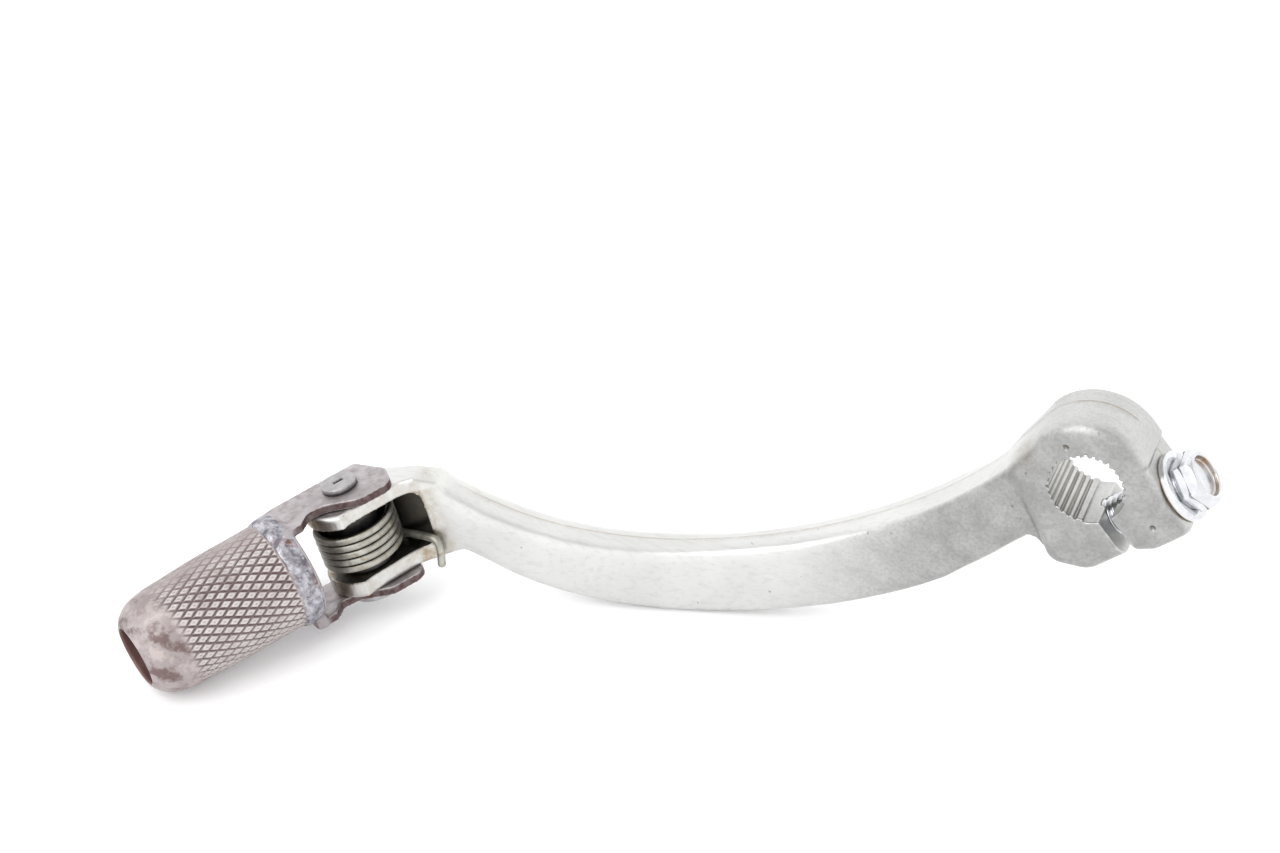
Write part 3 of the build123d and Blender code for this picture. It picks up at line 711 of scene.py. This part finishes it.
PEG_START, PEG_SHOULDER, PEG_END = 14.2, 38.4, 42.8
PEG_RADIUS, PEG_HOLE = 9.6, 5.1
KNURL_STARTS = 36
KNURL_ANGLE = math.radians(30)
KNURL_DEPTH = 0.42


def knurl(turn, height):
    """(ridge height, groove closeness) of a diamond knurl at each point."""
    around = turn * PEG_RADIUS
    pitch = TURN * PEG_RADIUS / KNURL_STARTS
    lean = math.tan(KNURL_ANGLE)
    gaps = []
    for sign in (1, -1):
        phase = (around + sign * height * lean) / pitch % 1.0
        gaps.append(np.minimum(phase, 1 - phase) * pitch * math.cos(KNURL_ANGLE))
    near = np.minimum(*gaps)
    ridge = step(near, 0.03, 0.32)
    dip = step(near, 0.5, 0.64)
    return ridge - 0.35 * dip, 1 - step(near, 0.06, 0.26)


def rubbed(turn):
    """How far the knurl is worn away: along the peg's top and along its underside."""
    share = 0
    for middle, width, amount in ((186, 20, 0.85), (22, 18, 0.8)):
        away = (np.degrees(turn) - middle + 180) % 360 - 180
        share = share + amount * np.exp(-(away / width) ** 2)
    return share


def toe_peg():
    """Hollow peg: diamond knurl that fades before the rounded nose."""
    wall = PEG_RADIUS - 2.6

    def shape(turn, radius, height):
        lift, _ = knurl(turn, height)
        drift = 0.8 * np.sin(turn * 2 + 1) + 0.5 * np.sin(turn * 5)
        patch = (1 - step(height, PEG_SHOULDER - 3.6 + drift, PEG_SHOULDER - 1.2 + drift))
        patch = patch * (1 - rubbed(turn))
        patch = patch * step(height, PEG_START + 1.9, PEG_START + 2.5) * (radius > wall + 1)
        uneven = ring_ripple(turn, height * 0.12, 1.6, 21) * 0.05 * (radius > wall + 0.2)
        return radius + patch * KNURL_DEPTH * (lift - 1) + uneven, height
    profile = [(wall, PEG_START), (PEG_RADIUS, PEG_START), (PEG_RADIUS - 0.15, 27), (9.02, 36.4)]
    profile += [(8.86, 37.6), (8.6, 38.9), (8.2, 40.0), (7.6, 41.0), (6.9, 41.8), (6.2, 42.35), (5.75, 42.6)]
    profile += [(5.45, 42.7), (5.2, 42.62), (PEG_HOLE, 42.3), (PEG_HOLE, PEG_END - 3.4)]
    profile += [(6.6, 38.2), (wall, 34.8)]
    mesh = lathe("toe_peg_skin", profile, PEG, 432, 0.16, True, shape)
    inside, reach = seen_from(mesh, PEG)
    turn = np.arctan2(inside[:, 1], inside[:, 0])
    lift, groove = knurl(turn, inside[:, 2])
    outside = (reach > wall + 1) * (1 - step(inside[:, 2], 34.6, 37)) * (inside[:, 2] > PEG_START + 2.1)
    outside = outside * (1 - rubbed(turn))
    paint(mesh, tip=step(lift, 0.55, 0.9) * outside, groove=groove * outside,
          nose=step(inside[:, 2], 33.5, 36.5) * (reach > PEG_HOLE + 0.12),
          inside=(reach < PEG_HOLE + 0.12) * 1.0)
    return piece_from(mesh, "toe_peg_skin", "toe_tip", peg_steel(), ["toe_peg"])


def peg_weld():
    """Lumpy weld that runs from the bracket's web onto the peg."""
    def shape(turn, radius, height):
        outer = step(radius, 9.5, 10.0)
        large = ring_ripple(turn, height, 3.6, 31, PEG_RADIUS)
        small = ring_ripple(turn, height, 1.5, 32, PEG_RADIUS)
        wander = ring_ripple(turn, 0 * turn, 1.2, 33)
        lumps = large * 0.16 + small * 0.05
        return radius + lumps * outer, height + 0.4 * wander * outer
    profile = [(9.2, 12.5), (9.68, 12.5), (9.9, 13.2), (10.1, 14.2), (10.05, 15.0), (9.85, 15.8), (9.2, 16.5)]
    mesh = lathe("peg_weld_skin", profile, PEG, 240, 0.2, True, shape)
    return piece_from(mesh, "peg_weld_skin", "toe_tip", weld_steel(), ["peg_weld"])


# ---- pin, bush and spring ----------------------------------------------------
PLATE_TOP, PLATE_LOW = 8.92, -10.92


def pivot_pin(material):
    """Pin with a flat, rounded head and a punched mark; peened over below."""
    washer = 0.9

    def shape(turn, radius, height):
        x, y = radius * np.cos(turn), radius * np.sin(turn)
        mark = (1 - step(np.abs(x), 0.8, 1.0)) * (1 - step(np.abs(y), 0.34, 0.5)) * (height > PLATE_TOP + 1.1)
        return radius, height - 0.55 * mark
    low = PLATE_LOW - washer
    profile = [(0.05, low - 0.9), (1.2, low - 0.86), (2.3, low - 0.7), (3.0, low - 0.4), (3.25, low - 0.12),
               (3.25, low), (2.5, low), (2.5, PLATE_TOP), (3.1, PLATE_TOP), (3.1, PLATE_TOP + 0.9)]
    profile += arc((2.8, PLATE_TOP + 0.9), 0.3, 10, 90, 6) + [(0.05, PLATE_TOP + 1.22)]
    mesh = lathe("pivot_pin_skin", profile, BRACKET, 120, 0.12, False, shape)
    inside, reach = seen_from(mesh, BRACKET)
    # painted shade: near-black in the punched mark and round the lower side of the head, next to the plate
    sunk = (reach < 1.2) * step(PLATE_TOP + 1.18 - inside[:, 2], 0.05, 0.3) * (inside[:, 2] > PLATE_TOP)
    base = (1 - step(np.abs(inside[:, 2] - PLATE_TOP), 0.25, 0.75)) * (reach > 2.8)
    paint(mesh, grime=np.clip(sunk + 0.85 * base, 0, 1))
    return piece_from(mesh, "pivot_pin_skin", "toe_tip", material, ["pivot_pin"])


def rivet_washer(material):
    """Washer under the lower plate."""
    top, thick, inner, outer = PLATE_LOW, 0.9, 2.55, 5.0
    profile = [(inner, top), (4.9, top), (outer, top - 0.12), (outer, top - thick + 0.22),
               (4.85, top - thick + 0.05), (4.6, top - thick), (inner, top - thick)]
    mesh = lathe("rivet_washer_skin", profile, BRACKET, 120, 0.2)
    paint(mesh, grime=np.zeros(len(mesh.vertices)))
    return piece_from(mesh, "rivet_washer_skin", "toe_tip", material, ["rivet_washer"])


def spring_bush(material):
    """Tube inside the coil."""
    low, high, inner, outer = -5.95, 4.55, 2.8, 4.9
    profile = [(inner, low), (4.8, low), (outer, low + 0.1), (outer, high - 0.1), (4.8, high), (inner, high)]
    mesh = lathe("spring_bush_skin", profile, FORK, 96, 0.4)
    # painted shade: the whole bush, seen only inside the coil, is painted nearly black
    paint(mesh, grime=np.full(len(mesh.vertices), 0.85))
    return piece_from(mesh, "spring_bush_skin", "arm", material, ["spring_bush"])


def return_spring():
    """A true helix of six turns with a hooked leg and a leg in the bracket's web."""
    radius, coil, turns, pitch = 0.7, 6.6, 6, 1.42
    low = -5.0 + radius
    hook = np.array((-13.9, -0.5))
    leave = math.atan2(hook[1], hook[0]) + math.acos(coil / np.linalg.norm(hook))
    arrive = PEG_ANGLE - math.pi / 2
    sweep = (arrive - leave) % TURN + TURN * (turns - 1)
    angles = np.linspace(leave, leave + sweep, 60 * turns)
    rise = np.linspace(low, low + pitch * (turns - 1) + 0.15, len(angles))
    helix = [(coil * math.cos(a), coil * math.sin(a), z) for a, z in zip(angles, rise)]
    start = np.array((coil * math.cos(leave), coil * math.sin(leave), low))
    elbow, end = np.array((*hook, low)), np.array((-12.6, -0.5, -9.4))
    ahead = (elbow - start) / np.linalg.norm(elbow - start)
    fall = (end - elbow) / np.linalg.norm(end - elbow)
    bend = 2.9
    before, after = elbow - ahead * bend, elbow + fall * bend
    down = [tuple(end + (after - end) * k) for k in np.linspace(0, 0.95, 10)]
    corner = [tuple(after * (1 - t) ** 2 + elbow * 2 * t * (1 - t) + before * t * t)
              for t in np.linspace(0, 1, 14)]
    run = [tuple(before + (start - before) * k) for k in np.linspace(0.1, 0.9, 10)]
    peg_way = np.array((math.cos(PEG_ANGLE), math.sin(PEG_ANGLE)))
    tail = [tuple(np.array(helix[-1][:2]) + peg_way * k) + (rise[-1],) for k in np.linspace(0.5, 11.4, 20)]
    mesh = wire("return_spring_skin", down + corner + run + helix + tail, radius, FORK)
    _, reach = seen_from(mesh, FORK)
    on_coil = reach < coil + radius + 0.05
    # painted shade: brown-black on the inner side of the coil, facing the bush
    paint(mesh, grime=(1 - step(reach, coil + 0.2, coil + radius - 0.12)) * on_coil)
    return piece_from(mesh, "return_spring_skin", "arm", spring_steel(), ["return_spring"])


# ---- object ------------------------------------------------------------------
zinc, pin_metal = zinc_steel(), pin_steel()
lever_arm()
pinch_bolt(zinc)
captive_washer(zinc)
peg_bracket()
toe_peg()
peg_weld()
pivot_pin(pin_metal)
rivet_washer(pin_metal)
spring_bush(pin_metal)
return_spring()


# ---- floor, light and camera -------------------------------------------------
def floor():
    """A wide white table just under the object."""
    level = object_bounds()[0].z
    half = 3.0
    mesh = mesh_from("floor", [(-half, -half, level), (half, -half, level), (half, half, level),
                               (-half, half, level)], [(0, 1, 2, 3)])
    table = bpy.data.objects.new("floor", mesh)
    bpy.context.scene.collection.objects.link(table)
    f = Finish("floor", 0.0)
    shade = f.mix(f.noise(120, 2), rgb(249, 249, 250), rgb(252, 252, 252))
    f.put(f.shader.inputs["Emission Color"], rgb(249, 250, 255))
    f.put(f.shader.inputs["Emission Strength"], 0.08)
    mesh.materials.append(f.done(shade, 0.8))
    table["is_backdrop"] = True


def soft_light(name, place, aim, size, power):
    """A square soft box at place that points at aim."""
    lamp = bpy.data.lights.new(name, "AREA")
    lamp.size = size
    lamp.energy = power
    box = bpy.data.objects.new(name, lamp)
    bpy.context.scene.collection.objects.link(box)
    box.location = place
    box.rotation_euler = (Vector(aim) - Vector(place)).to_track_quat("-Z", "Y").to_euler()


def sky():
    """Bright near the horizon all round and dim overhead, like a room with light walls."""
    world = bpy.data.worlds.new("sky")
    bpy.context.scene.world = world
    world.use_nodes = True
    nodes, links = world.node_tree.nodes, world.node_tree.links
    where = nodes.new("ShaderNodeTexCoord")
    split = nodes.new("ShaderNodeSeparateXYZ")
    links.new(where.outputs["Generated"], split.inputs[0])
    height = nodes.new("ShaderNodeMapRange")
    links.new(split.outputs["Z"], height.inputs["Value"])
    height.inputs["From Min"].default_value = 0.55
    height.inputs["From Max"].default_value = 0.95
    height.inputs["To Min"].default_value = 1.0
    height.inputs["To Max"].default_value = 0.45
    links.new(height.outputs[0], nodes["Background"].inputs["Color"])
    nodes["Background"].inputs["Strength"].default_value = 1.42


def camera():
    """The photographer's place: in front, looking down by about a third of a right angle."""
    down, aside = 33.2, 23.8
    lens = bpy.data.cameras.new("camera")
    lens.sensor_width = 36
    lens.lens = 56.25
    lens.clip_start, lens.clip_end = 0.01, 20
    view = bpy.data.objects.new("camera", lens)
    bpy.context.scene.collection.objects.link(view)
    view.location = (39.15 * MM, -265.3 * MM, 177.1 * MM)
    view.rotation_euler = (math.radians(90 - down), 0, math.radians(aside))
    bpy.context.scene.camera = view


floor()
sky()
middle = (cad_low + cad_high) / 2
soft_light("overhead", (-0.1, 0.15, 0.7), middle, 0.7, 0.9)
soft_light("front_left", (-0.25, -0.42, 0.5), middle, 0.4, 1.4)
camera()
bpy.context.scene.view_settings.view_transform = "Standard"
